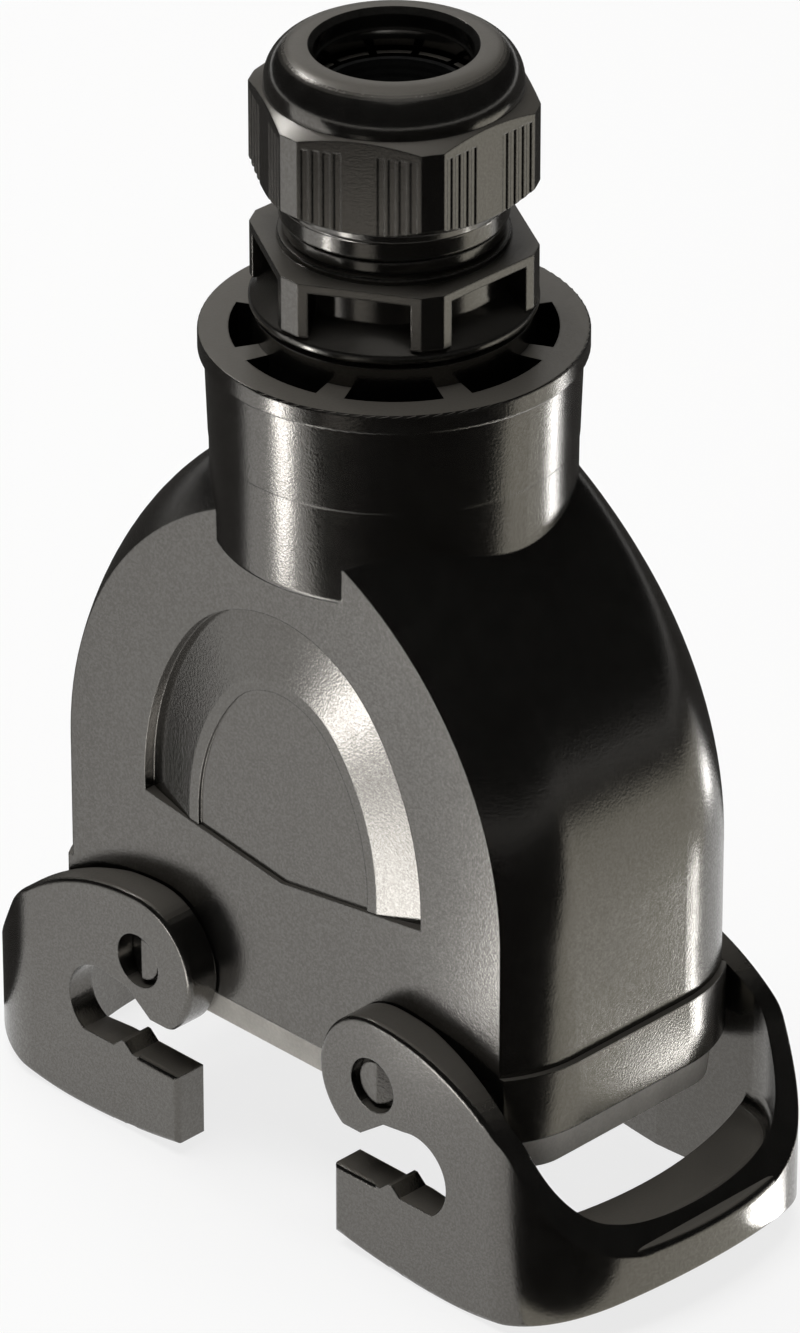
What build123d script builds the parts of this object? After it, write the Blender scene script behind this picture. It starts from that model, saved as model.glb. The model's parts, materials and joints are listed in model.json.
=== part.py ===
from build123d import *
import math
import os

# Connector hood with a top cable gland and two locking levers.
# Millimetres and degrees. +X runs along the hood's length, +Y through its thickness, +Z up.
# Z = 0 is the lowest line of the two levers, which the hood stands on.

# Shell: outline of the flat faces, seen from the front
BODY_WIDTH = 44.2
FACE_HALF_LENGTH = 42.3
FACE_ARCH_RADIUS = 52.8
SPRING_HEIGHT = 30.0
CROWN_RADIUS = 26.0

# Shell: rounded ends, skirt and cavity
END_FLAT = 21.8
END_BULGE = 3.6
END_ARCH_RADIUS = 65.6
END_SECTIONS = 6
SKIRT_HEIGHT = 10.3
SKIRT_PROUD = 0.95
END_WALL = 3.7
SIDE_WALL = 4.5
CAVITY_ARCH_RADIUS = 58.9
CAVITY_CROWN_RADIUS = 22.0
CAVITY_CORNER = 4.0

# Shell: shallow recess on each flat face, with a rimmed panel in its middle
RECESS_HALF_LENGTH = 27.15
RECESS_SPRING_HEIGHT = 29.5
RECESS_ARCH_RADIUS = 44.0
RECESS_CROWN_RADIUS = 22.8
RECESS_DEPTH = 1.7
RECESS_END_HEIGHT = 27.35
RECESS_APEX_HEIGHT = 23.5
PANEL_HALF_LENGTH = 18.4
PANEL_SPRING_HEIGHT = 28.0
PANEL_ARCH_RADIUS = 35.0
PANEL_CROWN_RADIUS = 13.8
PANEL_DEPTH = 0.2
PANEL_RIM = 1.8
PANEL_STEP = 0.4

# Shell: collar round the cable entry
COLLAR_RADIUS = 25.9
COLLAR_WAIST_RADIUS = 25.45
COLLAR_WAIST_STEP = 0.1
COLLAR_FOOT_RADIUS = 25.2
COLLAR_FOOT_ROUND = 1.1
COLLAR_WAIST_HEIGHT = 86.8
COLLAR_FOOT_HEIGHT = 72.0
COLLAR_HEIGHT = 102.4
BAND_RADIUS = 26.75
BAND_HEIGHT = 2.9
BAND_ROUND = 0.3
COLLAR_WALL = 3.4
SLOT_DEPTH = 16.9
RIB_COUNT = 8
RIB_ANGLE = 10.5
ENTRY_BOSS_RADIUS = 19.2
ENTRY_BOSS_RISE = 3.2
CABLE_WAY_RADIUS = 14.0

# Seats of the four insert screws
SCREW_SPACING_X = 77.5
SCREW_SPACING_Y = 27.0
SEAT_HEIGHT = 12.0
SCREW_BOSS_RADIUS = 4.4
SCREW_BOSS_TIP_RADIUS = 0.5
SCREW_BOSS_LENGTH = 22.0
BUSH_RADIUS = 2.8
BUSH_LENGTH = 8.0
BUSH_BORE_RADIUS = 1.65
BUSH_GAP = 0.02
SCREW_RELIEF_LENGTH = 5.0
SCREW_RELIEF_RADIUS = 2.2

# Rim gasket: a tapered skirt of soft seal with a tongue that presses into the rim
GASKET_HEIGHT = 5.1
GASKET_TAPER = 0.6
GASKET_FRONT_INSET = 1.0
GASKET_CORNER = 7.0
TONGUE_WIDTH = 1.6
TONGUE_HEIGHT = 2.0
TONGUE_GAP = 0.05

# Lever pivots
PIVOT_X = 23.35
PIVOT_HEIGHT = 3.3
TRUNNION_RADIUS = 4.05
TRUNNION_LENGTH = 3.2
NOSE_RADIUS = 3.2
NOSE_RECESS = 0.8
NOSE_BEVEL = 28.0
PIVOT_CLEARANCE = 0.08

# Levers, seen from the front; heights are measured from the rim
LEVER_DROP = 25.9
LEVER_SIDE_GAP = 0.35
PLATE_THICKNESS = 5.2
LOBE_RADIUS = 10.7
LOBE_SHIFT_X = 0.2
LOBE_SHIFT_Z = -0.5
LEVER_TOP_RADIUS = 37.0
LEVER_TOP_TURN = 40.0
LEVER_KNEE_RADIUS = 10.0
LEVER_HOLLOW_RADIUS = 68.0
HOLLOW_FOOT_INSET = 2.46
HANDLE_BOTTOM_RUN = 25.9
JAW_END_X = 15.7
JAW_BOTTOM_RADIUS = 113.0
HANDLE_BOTTOM_RADIUS = 54.0
JAW_TOP = -12.8
PEG_SLOT_X = 31.3
PEG_SLOT_HEIGHT = -7.6
PEG_SLOT_RADIUS = 6.3
LOBE_TIP_X = 21.0
LOBE_TIP_HEIGHT = -5.4
THROAT_X = 25.5
THROAT_HEIGHT = -2.1
DETENT_X = 26.7
DETENT_RISE = 1.4
DETENT_HALF_WIDTH = 1.9
DETENT_CREST = 0.6
LEVER_EDGE_ROUND = 0.8

# Lever handles, seen from above
HANDLE_REACH = 62.9
HANDLE_BOW = 56.5
HANDLE_CORNER = 15.6
HANDLE_WALL = 3.3
PLATE_TAPER_START_X = 30.0
PLATE_TAPER_LENGTH = 17.0
SHELF_CLEARANCE = 2.55
SHELF_BOW = 64.0
SHELF_HEIGHT = -13.0
SHELF_THICKNESS = 2.6
SHELF_RIB = 2.2
SHELF_COVE = 3.0
SHELF_EDGE_ROUND = 1.2
HANDLE_FOOT_ROUND = 0.5

# Cable gland body
THREAD_RADIUS = 16.0
THREAD_LENGTH = 14.0
THREAD_GAP = 0.1
GLAND_BORE_RADIUS = 12.0
GLAND_GAP = 0.8
FLANGE_RADIUS = 19.8
FLANGE_HEIGHT = 2.0
FLANGE_EDGE = 0.8
FLANGE_ROUND = 0.5
FLANGE_SLOPE = 0.7
HEX_SIDES = 6
HEX_ACROSS = 36.0
HEX_CORNER_CUT = 0.9
HEX_HEIGHT = 8.0
POCKET_WIDTH = 14.2
POCKET_TOP_FRAME = 1.3
POCKET_CORE_RADIUS = 15.6
GLAND_WEB = 2.0
NECK_RADIUS = 15.7
NECK_HEIGHT = 15.6
NECK_WALL = 2.8
SHOULDER_RADIUS = 15.9
SHOULDER_HEIGHT = 1.0
BEAD_HEIGHT = 1.9
BEAD_SINK = 0.5
NECK_GROOVE = 0.3
NECK_ROUND = 0.3
SEAL_SEAT_HEIGHT = 4.6

# Sealing ring under the gland
O_RING_SECTION = 2.0
O_RING_RADIUS = 17.4
O_RING_GAP = 0.05

# Cap nut
NUT_GAP = 8.4
NUT_HEX_HEIGHT = 12.7
NUT_CHAMFER = 1.1
DOME_RADIUS = 17.6
DOME_HEIGHT = 7.1
DOME_ROUND = 5.3
MOUTH_RADIUS = 10.8
MOUTH_DEPTH = 2.7
MOUTH_LIP = 0.3
MOUTH_FLARE = 0.8
CONE_LEDGE = 1.5
NUT_CLEARANCE = 0.08
NUT_BOTTOM_SLOPE = 0.7
FLUTES_PER_SIDE = 4
FLUTE_PITCH = 1.5
FLUTE_WIDTH = 0.9
FLUTE_DEPTH = 0.2
FLUTE_START = 3.0

# Clamping cage and sealing grommet inside the cap nut
CAGE_FLANGE_HEIGHT = 1.3
CAGE_LENGTH = 6.0
CAGE_WALL = 0.9
CAGE_SLITS = 12
CAGE_SLIT_WIDTH = 1.1
CAGE_SIDE_GAP = 0.2
CAGE_SEAT_GAP = 0.05
GROMMET_BORE_RADIUS = 9.8
GROMMET_SIDE_GAP = 0.15
GROMMET_TOP_DROP = 0.4

# Heights that follow from the driving dimensions
RIM = LEVER_DROP
SPRING = RIM + SPRING_HEIGHT
COLLAR_TOP = RIM + COLLAR_HEIGHT
SLOT_FLOOR = COLLAR_TOP - SLOT_DEPTH
ENTRY_TOP = COLLAR_TOP + ENTRY_BOSS_RISE
FLANGE_BOTTOM = ENTRY_TOP + GLAND_GAP
HEX_BOTTOM = FLANGE_BOTTOM + FLANGE_HEIGHT
HEX_TOP = HEX_BOTTOM + HEX_HEIGHT
NECK_TOP = HEX_TOP + NECK_HEIGHT
NUT_BOTTOM = HEX_TOP + NUT_GAP
NUT_HEX_TOP = NUT_BOTTOM + NUT_HEX_HEIGHT
DOME_TOP = NUT_HEX_TOP + DOME_HEIGHT
CAGE_BOTTOM = NECK_TOP + CAGE_SEAT_GAP
CAGE_SHOULDER = CAGE_BOTTOM + CAGE_FLANGE_HEIGHT
CAGE_TOP = CAGE_BOTTOM + CAGE_LENGTH
CONE_FOOT = CAGE_SHOULDER + CAGE_SIDE_GAP
CONE_TOP = DOME_TOP - MOUTH_DEPTH - MOUTH_LIP
SHELF_TOP = RIM + SHELF_HEIGHT
PIVOT_Z = RIM + PIVOT_HEIGHT

# Lengths that follow from the driving dimensions
HALF_LENGTH = FACE_HALF_LENGTH + END_BULGE
HALF_WIDTH = BODY_WIDTH / 2
HALF_CAVITY = HALF_WIDTH - SIDE_WALL
END_CHORD = HALF_WIDTH - END_FLAT / 2
END_RADIUS = (END_CHORD**2 + END_BULGE**2) / (2 * END_BULGE)
PLATE_INNER = HALF_WIDTH + LEVER_SIDE_GAP
PLATE_OUTER = PLATE_INNER + PLATE_THICKNESS
LOWEST_X = HANDLE_REACH - HANDLE_BOTTOM_RUN
SHELF_INNER_X = HALF_LENGTH + SKIRT_PROUD + SHELF_CLEARANCE
CONE_FOOT_RADIUS = NECK_RADIUS - CONE_LEDGE
CONE_TOP_RADIUS = MOUTH_RADIUS - MOUTH_LIP
CONE_LEAN = (CONE_FOOT_RADIUS - CONE_TOP_RADIUS) / (CONE_TOP - CONE_FOOT)

# Cutters run past the solid they cut by these lengths
OVERCUT = 1.0
BEYOND = 20.0

# Used to find edges by their place
TOUCH = 0.01
UPWARDS = Vector(0, 0, 1)
BOW_MIDDLE = Vector(HANDLE_REACH, 0, 0)


def ring_profile(points, rounds=None):
    """Turns a closed half section about the vertical axis, with chosen corners rounded."""
    section = make_face(Polyline(*points, close=True))
    for corner, radius in (rounds or {}).items():
        section = fillet(section.vertices().sort_by_distance(corner)[0], radius)
    return revolve(Plane.XZ * section, Axis.Z)


def tube(outer, inner, low, high):
    """Round tube between two heights."""
    return ring_profile([(inner, low), (outer, low), (outer, high), (inner, high)])


def rod(radius, low, high):
    """Upright cylinder between two heights."""
    return Pos(0, 0, (low + high) / 2) * Cylinder(radius, high - low)


def block(x_span, y_span, z_span):
    """Box from its three spans."""
    spans = (x_span, y_span, z_span)
    middle = Pos(*[(low + high) / 2 for low, high in spans])
    return middle * Box(*[high - low for low, high in spans])


def both_sides(shape):
    """The shape and its mirror image across the plane through both ends."""
    return shape + mirror(shape, about=Plane.XZ)


def arch_face(half_length, spring, side_radius, crown_radius, base):
    """Upright arch: straight sides up to the spring line, two side arcs and a crown arc."""
    offset = side_radius - half_length
    rise = math.sqrt((side_radius - crown_radius) ** 2 - offset**2)
    join = math.atan2(rise, offset)

    def on_side(angle):
        return (side_radius * math.cos(angle) - offset, spring + side_radius * math.sin(angle))

    right = [(half_length, base), (half_length, spring), on_side(join / 2), on_side(join)]
    left = [(-x, z) for x, z in right]
    outline = [
        Line(left[0], right[0]),
        Line(right[0], right[1]),
        ThreePointArc(right[1], right[2], right[3]),
        ThreePointArc(right[3], (0, spring + rise + crown_radius), left[3]),
        ThreePointArc(left[3], left[2], left[1]),
        Line(left[1], left[0]),
    ]
    return Plane.XZ * make_face(outline)


def slab(face, near, far):
    """Upright face drawn out between two planes across the thickness."""
    return Pos(0, far, 0) * extrude(face, far - near)


def end_setback(y):
    """How far the rounded ends stand back at a distance from the middle plane."""
    reach = y - END_FLAT / 2
    return END_RADIUS - math.sqrt(END_RADIUS**2 - reach**2)


def end_profile(y):
    """Section of the outer body at a distance from the middle plane."""
    setback = end_setback(y)
    spread = END_ARCH_RADIUS - FACE_ARCH_RADIUS
    side_radius = END_ARCH_RADIUS - spread * setback / END_BULGE
    return Pos(0, y, 0) * arch_face(HALF_LENGTH - setback, SPRING, side_radius, CROWN_RADIUS, RIM)


def outer_body():
    """Outer body with a flat strip down each end that rounds into the flat faces."""
    start = END_FLAT / 2
    step = END_CHORD / (END_SECTIONS - 1)
    flank = loft([end_profile(start + step * index) for index in range(END_SECTIONS)])
    middle = extrude(end_profile(start), END_FLAT)
    return middle + both_sides(flank)


def skirt():
    """Band round the foot of the outer body that stands proud at the ends."""
    half_x = HALF_LENGTH + SKIRT_PROUD
    start = END_FLAT / 2
    middle = start + END_CHORD / 2
    corner_x = half_x - END_BULGE
    arc = [(half_x, start), (half_x - end_setback(middle), middle), (corner_x, HALF_WIDTH)]
    plan = [Line((-corner_x, HALF_WIDTH), (corner_x, HALF_WIDTH))]
    plan += [Line((-corner_x, -HALF_WIDTH), (corner_x, -HALF_WIDTH))]
    for side in (-1, 1):
        plan += [Line((side * half_x, -start), (side * half_x, start))]
        plan += [ThreePointArc(*[(side * x, y) for x, y in arc])]
        plan += [ThreePointArc(*[(side * x, -y) for x, y in arc])]
    return Pos(0, 0, RIM) * extrude(make_face(plan), SKIRT_HEIGHT)


def rounded_rectangle(half_x, half_y, corner, height):
    """Level rounded rectangle at a height."""
    return Pos(0, 0, height) * RectangleRounded(2 * half_x, 2 * half_y, corner)


def rim_seal():
    """Tapered seal under the rim, before the cavity is cut."""
    half_y = HALF_WIDTH - GASKET_FRONT_INSET
    root = rounded_rectangle(HALF_LENGTH, half_y, GASKET_CORNER + GASKET_TAPER, RIM)
    foot_x, foot_y = HALF_LENGTH - GASKET_TAPER, half_y - GASKET_TAPER
    return loft([root, rounded_rectangle(foot_x, foot_y, GASKET_CORNER, RIM - GASKET_HEIGHT)])


def panel_face(inset, base):
    """Outline of the panel in the middle of the recess."""
    half_length = PANEL_HALF_LENGTH - inset
    side, crown = PANEL_ARCH_RADIUS - inset, PANEL_CROWN_RADIUS - inset
    return arch_face(half_length, RIM + PANEL_SPRING_HEIGHT, side, crown, base)


def vee_height(x):
    """Height of the vee under the recess at a distance from the middle."""
    slope = (RECESS_END_HEIGHT - RECESS_APEX_HEIGHT) / RECESS_HALF_LENGTH
    return RIM + RECESS_APEX_HEIGHT + slope * x


def face_recess():
    """Cutter for the sloping recess on the front face, closed below by a shallow vee."""
    base = RIM + RECESS_APEX_HEIGHT - OVERCUT
    face_y = -HALF_WIDTH
    floor_y = face_y + RECESS_DEPTH
    panel_y = face_y + PANEL_DEPTH
    spring = RIM + RECESS_SPRING_HEIGHT
    outline = arch_face(RECESS_HALF_LENGTH, spring, RECESS_ARCH_RADIUS, RECESS_CROWN_RADIUS, base)
    island = loft([Pos(0, floor_y, 0) * outline, Pos(0, panel_y, 0) * panel_face(0, base)], ruled=True)
    panel = slab(panel_face(PANEL_RIM, base), face_y - OVERCUT, panel_y + PANEL_STEP)
    half, top = FACE_HALF_LENGTH, COLLAR_TOP
    vee = Polyline(
        (-half, top),
        (-half, vee_height(half)),
        (0, vee_height(0)),
        (half, vee_height(half)),
        (half, top),
        close=True,
    )
    above_vee = extrude(Plane.XZ * make_face(vee), BODY_WIDTH)
    return (slab(outline, face_y - OVERCUT, floor_y) - island + panel) & above_vee


def collar():
    """Solid collar round the cable entry: rounded foot, two tapered zones and a rim band."""
    foot = (COLLAR_FOOT_RADIUS, RIM + COLLAR_FOOT_HEIGHT)
    waist = RIM + COLLAR_WAIST_HEIGHT
    band_foot = COLLAR_TOP - BAND_HEIGHT
    points = [
        (0, foot[1]),
        foot,
        (COLLAR_WAIST_RADIUS - COLLAR_WAIST_STEP, waist),
        (COLLAR_WAIST_RADIUS, waist),
        (COLLAR_RADIUS, band_foot),
        (BAND_RADIUS, band_foot),
        (BAND_RADIUS, COLLAR_TOP),
        (0, COLLAR_TOP),
    ]
    rounds = {foot: COLLAR_FOOT_ROUND, points[5]: BAND_ROUND, points[6]: BAND_ROUND}
    return ring_profile(points, rounds)


def collar_slots():
    """Cutter for the slots between the collar's wall and the entry boss, parted by ribs."""
    reach = BAND_RADIUS
    half = reach * math.tan(math.radians(RIB_ANGLE / 2))
    wedge = make_face(Polyline((0, 0), (reach, half), (reach, -half), close=True))
    rib = Pos(0, 0, SLOT_FLOOR) * extrude(wedge, SLOT_DEPTH + OVERCUT)
    step = 360 / RIB_COUNT
    ribs = [Rot(0, 0, step * (index + 1 / 2)) * rib for index in range(RIB_COUNT)]
    return tube(COLLAR_RADIUS - COLLAR_WALL, ENTRY_BOSS_RADIUS, SLOT_FLOOR, COLLAR_TOP + OVERCUT) - ribs


def entry_bore():
    """Threaded entry and the cable way under it."""
    thread_foot = ENTRY_TOP - THREAD_LENGTH - OVERCUT
    way = rod(CABLE_WAY_RADIUS, RIM + COLLAR_FOOT_HEIGHT - BEYOND, thread_foot + OVERCUT)
    return rod(THREAD_RADIUS + THREAD_GAP, thread_foot, ENTRY_TOP + OVERCUT) + way


def screw_places():
    """Centres of the four insert screws."""
    half_x, half_y = SCREW_SPACING_X / 2, SCREW_SPACING_Y / 2
    return [(x, y) for x in (-half_x, half_x) for y in (-half_y, half_y)]


def screw_bosses():
    """Boss in a corner of the cavity that carries a threaded bush, and its stepped hole."""
    low = RIM + SEAT_HEIGHT
    high = low + SCREW_BOSS_LENGTH
    tip = Cone(SCREW_BOSS_RADIUS, SCREW_BOSS_TIP_RADIUS, SCREW_BOSS_RADIUS)
    boss = rod(SCREW_BOSS_RADIUS, low, high) + Pos(0, 0, high + SCREW_BOSS_RADIUS / 2) * tip
    hole = rod(BUSH_RADIUS + BUSH_GAP, low - OVERCUT, low + BUSH_LENGTH)
    hole += rod(SCREW_RELIEF_RADIUS, low, low + BUSH_LENGTH + SCREW_RELIEF_LENGTH)
    return boss, hole


def tongue_ring(gap):
    """Ring that follows the middle of the rim, wider and taller by a gap."""
    outer_x, outer_y = HALF_LENGTH - GASKET_TAPER, HALF_WIDTH - GASKET_FRONT_INSET - GASKET_TAPER
    inner_x, inner_y = HALF_LENGTH - END_WALL, HALF_CAVITY
    middle_x, middle_y = (outer_x + inner_x) / 2, (outer_y + inner_y) / 2
    corner = (GASKET_CORNER + CAVITY_CORNER) / 2
    half = TONGUE_WIDTH / 2 + gap
    outside = rounded_rectangle(middle_x + half, middle_y + half, corner + half, RIM)
    inside = rounded_rectangle(middle_x - half, middle_y - half, corner - half, RIM)
    return extrude(outside - inside, TONGUE_HEIGHT + gap)


def cross_rod(radius, near, far):
    """Cylinder that runs from one distance to another in front of the middle plane."""
    return Pos(0, -(near + far) / 2, 0) * Rot(90, 0, 0) * Cylinder(radius, far - near)


def trunnion():
    """Moulded pivot on the right of the front face, with a bevelled nose."""
    nose_end = PLATE_OUTER - NOSE_RECESS
    bearing = cross_rod(TRUNNION_RADIUS, HALF_WIDTH, PLATE_INNER + TRUNNION_LENGTH)
    nose = cross_rod(NOSE_RADIUS, HALF_WIDTH, nose_end)
    run = NOSE_RADIUS + OVERCUT
    fall = run * math.tan(math.radians(NOSE_BEVEL))
    wedge = Polyline((0, -nose_end), (run, fall - nose_end), (run, -nose_end - OVERCUT), close=True)
    bevel = Pos(0, 0, -run) * extrude(make_face(wedge), 2 * run)
    return Pos(PIVOT_X, 0, PIVOT_Z) * (bearing + nose - bevel)


def room():
    """Space inside the hood, without what stands in it."""
    base = RIM - GASKET_HEIGHT - OVERCUT
    half_length = HALF_LENGTH - END_WALL
    arch = arch_face(half_length, SPRING, CAVITY_ARCH_RADIUS, CAVITY_CROWN_RADIUS, base)
    space = slab(arch, -HALF_CAVITY, HALF_CAVITY)
    long_edges = [edge for edge in space.edges().filter_by(Plane.XZ) if edge.center().Z > base + TOUCH]
    return fillet(long_edges, CAVITY_CORNER)


def hood_shell():
    """One-piece moulded hood."""
    shell = outer_body() + skirt()
    shell -= both_sides(face_recess())
    shell += collar()
    shell -= collar_slots()
    shell += rod(ENTRY_BOSS_RADIUS, SLOT_FLOOR, ENTRY_TOP)
    boss, hole = screw_bosses()
    cavity = room() - [Pos(x, y, 0) * boss for x, y in screw_places()]
    holes = [Pos(x, y, 0) * hole for x, y in screw_places()]
    shell -= [cavity, entry_bore(), tongue_ring(TONGUE_GAP), *holes]
    pivots = both_sides(trunnion())
    return shell + pivots + mirror(pivots, about=Plane.YZ)


def rim_gasket():
    """Soft seal round the rim, pressed into the rim's groove."""
    return rim_seal() + tongue_ring(0) - room()


def threaded_bush():
    """Brass bush that takes one insert screw."""
    low = RIM + SEAT_HEIGHT
    return tube(BUSH_RADIUS, BUSH_BORE_RADIUS, low, low + BUSH_LENGTH)


def along(centre, radius, turn):
    """Point on a circle at a turn in degrees from straight up."""
    angle = math.radians(turn)
    return (centre[0] + radius * math.sin(angle), centre[1] + radius * math.cos(angle))


def lobe_centre():
    """Centre of the lobe round the pivot."""
    return (PIVOT_X + LOBE_SHIFT_X, PIVOT_Z + LOBE_SHIFT_Z)


def hollow_turn(knee):
    """Turn at which the knee passes into the hollow that ends on the shelf."""
    run = HANDLE_REACH - HOLLOW_FOOT_INSET - knee[0]
    rise = SHELF_TOP - knee[1]
    span = math.hypot(run, rise)
    reach = LEVER_KNEE_RADIUS + LEVER_HOLLOW_RADIUS
    apart = math.acos((span**2 + reach**2 - LEVER_HOLLOW_RADIUS**2) / (2 * span * reach))
    return math.degrees(math.atan2(run, rise) - apart)


def lever_outline():
    """Side view of the right lever: arm, knee, hollow above the handle and jaw."""
    lobe_x, lobe_z = lobe_centre()
    top = (lobe_x, lobe_z + LOBE_RADIUS - LEVER_TOP_RADIUS)
    knee = along(top, LEVER_TOP_RADIUS - LEVER_KNEE_RADIUS, LEVER_TOP_TURN)
    knee_turn = hollow_turn(knee)
    hollow = along(knee, LEVER_KNEE_RADIUS + LEVER_HOLLOW_RADIUS, knee_turn)
    knee_start = along(top, LEVER_TOP_RADIUS, LEVER_TOP_TURN)
    knee_middle = along(knee, LEVER_KNEE_RADIUS, (LEVER_TOP_TURN + knee_turn) / 2)
    knee_end = along(knee, LEVER_KNEE_RADIUS, knee_turn)

    def on_hollow(height):
        drop = hollow[1] - height
        return (hollow[0] - math.sqrt(LEVER_HOLLOW_RADIUS**2 - drop**2), height)

    def on_bottom(x, radius):
        return (x, radius - math.sqrt(radius**2 - (x - LOWEST_X) ** 2))

    end_x = HANDLE_REACH + OVERCUT
    shelf_start = on_hollow(SHELF_TOP)
    handle_foot = on_bottom(end_x, HANDLE_BOTTOM_RADIUS)
    handle_middle = on_bottom((end_x + LOWEST_X) / 2, HANDLE_BOTTOM_RADIUS)
    jaw_foot = on_bottom(JAW_END_X, JAW_BOTTOM_RADIUS)
    jaw_middle = on_bottom((JAW_END_X + LOWEST_X) / 2, JAW_BOTTOM_RADIUS)
    jaw_top = (JAW_END_X, RIM + JAW_TOP)
    lobe_top = along(top, LEVER_TOP_RADIUS, 0)
    outline = [
        ThreePointArc(lobe_top, along(top, LEVER_TOP_RADIUS, LEVER_TOP_TURN / 2), knee_start),
        ThreePointArc(knee_start, knee_middle, knee_end),
        ThreePointArc(knee_end, on_hollow((knee_end[1] + SHELF_TOP) / 2), shelf_start),
        Line(shelf_start, (end_x, SHELF_TOP)),
        Line((end_x, SHELF_TOP), handle_foot),
        ThreePointArc(handle_foot, handle_middle, (LOWEST_X, 0)),
        ThreePointArc((LOWEST_X, 0), jaw_middle, jaw_foot),
        Line(jaw_foot, jaw_top),
        Line(jaw_top, (lobe_x, RIM + JAW_TOP)),
        Line((lobe_x, RIM + JAW_TOP), lobe_top),
    ]
    return make_face(outline)


def peg_slot():
    """Round-ended slot for the mating peg, open towards the middle, with its detent left in."""
    centre_z = RIM + PEG_SLOT_HEIGHT
    floor = RIM + JAW_TOP
    tip_z = RIM + LOBE_TIP_HEIGHT
    open_x = JAW_END_X - BEYOND
    throat = Polyline(
        (PEG_SLOT_X, centre_z + PEG_SLOT_RADIUS),
        (THROAT_X, RIM + THROAT_HEIGHT),
        (LOBE_TIP_X, tip_z),
        (open_x, tip_z),
        (open_x, floor),
        (PEG_SLOT_X, floor),
        close=True,
    )
    crest = DETENT_CREST / 2
    detent = Polyline(
        (DETENT_X - DETENT_HALF_WIDTH, floor),
        (DETENT_X - crest, floor + DETENT_RISE),
        (DETENT_X + crest, floor + DETENT_RISE),
        (DETENT_X + DETENT_HALF_WIDTH, floor),
        close=True,
    )
    seat = Pos(PEG_SLOT_X, centre_z) * Circle(PEG_SLOT_RADIUS)
    above_floor = Pos(PEG_SLOT_X, floor + BEYOND / 2) * Rectangle(BEYOND, BEYOND)
    return make_face(throat) + (seat & above_floor) - make_face(detent)


def handle_edges(reach, half_width, bow, corner):
    """Plan of the handle: straight sides, rounded corners and a bowed end."""
    bow_x = reach - bow
    corner_y = half_width - corner
    corner_x = bow_x + math.sqrt((bow - corner) ** 2 - corner_y**2)
    lean = math.atan2(corner_y, corner_x - bow_x)
    middle = (lean + math.pi / 2) / 2

    def on_corner(angle, side):
        return (corner_x + corner * math.cos(angle), side * (corner_y + corner * math.sin(angle)))

    return [
        Line((-BEYOND, -half_width), (corner_x, -half_width)),
        ThreePointArc((corner_x, -half_width), on_corner(middle, -1), on_corner(lean, -1)),
        ThreePointArc(on_corner(lean, -1), (reach, 0), on_corner(lean, 1)),
        ThreePointArc(on_corner(lean, 1), on_corner(middle, 1), (corner_x, half_width)),
        Line((corner_x, half_width), (-BEYOND, half_width)),
        Line((-BEYOND, half_width), (-BEYOND, -half_width)),
    ]


def outer_plan():
    """Outer plan of the lever."""
    return make_face(handle_edges(HANDLE_REACH, PLATE_OUTER, HANDLE_BOW, HANDLE_CORNER))


def wall_inside():
    """Plan of the inside of the handle's wall."""
    wall = HANDLE_WALL
    return handle_edges(HANDLE_REACH - wall, PLATE_OUTER - wall, HANDLE_BOW - wall, HANDLE_CORNER - wall)


def inner_plan():
    """Inner plan of the lever, between plates that thin out towards the handle."""
    half_width = PLATE_OUTER - HANDLE_WALL
    front = [
        (-BEYOND, PLATE_INNER),
        (PLATE_TAPER_START_X, PLATE_INNER),
        (PLATE_TAPER_START_X + PLATE_TAPER_LENGTH, half_width),
        (HANDLE_REACH, half_width),
    ]
    back = [(x, -y) for x, y in reversed(front)]
    return make_face(wall_inside()) & make_face(Polyline(*front, *back, close=True))


def shelf_plan(inset):
    """Plan of the shelf between its bowed inner edge and the outer wall."""
    centre = SHELF_INNER_X + inset - SHELF_BOW
    return outer_plan() - Pos(centre, 0) * Circle(SHELF_BOW)


def lever_side():
    """Side view of the lever drawn out across its width: long edges rounded, slot cut."""
    face = lever_outline() + Pos(*lobe_centre()) * Circle(LOBE_RADIUS)
    side = slab(Plane.XZ * face, -PLATE_OUTER, PLATE_OUTER)
    rims = side.faces().filter_by(Axis.Y).edges()
    reach = PLATE_OUTER + OVERCUT
    return fillet(rims, LEVER_EDGE_ROUND) - slab(Plane.XZ * peg_slot(), -reach, reach)


def shelf_cove():
    """Hollow fillet between the shelf and the inside of the handle's wall."""
    path = Pos(0, 0, SHELF_TOP) * Wire(wall_inside()[1:4])
    start = path @ 0
    centre = Pos(SHELF_COVE, SHELF_COVE)
    overlap = HANDLE_WALL / 2
    corner = Polyline(
        (-overlap, -overlap),
        (SHELF_COVE, -overlap),
        (SHELF_COVE, 0),
        (0, 0),
        (0, SHELF_COVE),
        (-overlap, SHELF_COVE),
        close=True,
    )
    quarter = Pos(SHELF_COVE / 2, SHELF_COVE / 2) * Rectangle(SHELF_COVE, SHELF_COVE)
    section = make_face(corner) + (quarter - centre * Circle(SHELF_COVE))
    return sweep(Plane(origin=start, x_dir=(0, 1, 0), z_dir=(1, 0, 0)) * section, path)


def lower_and_upper_bow_edge(solid):
    """The two edges of the bowed end that cross the middle of the handle."""
    crossing = [edge for edge in solid.edges() if (edge @ (1 / 2) - BOW_MIDDLE).cross(UPWARDS).length < TOUCH]
    return sorted(crossing, key=lambda edge: edge.center().Z)


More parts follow.
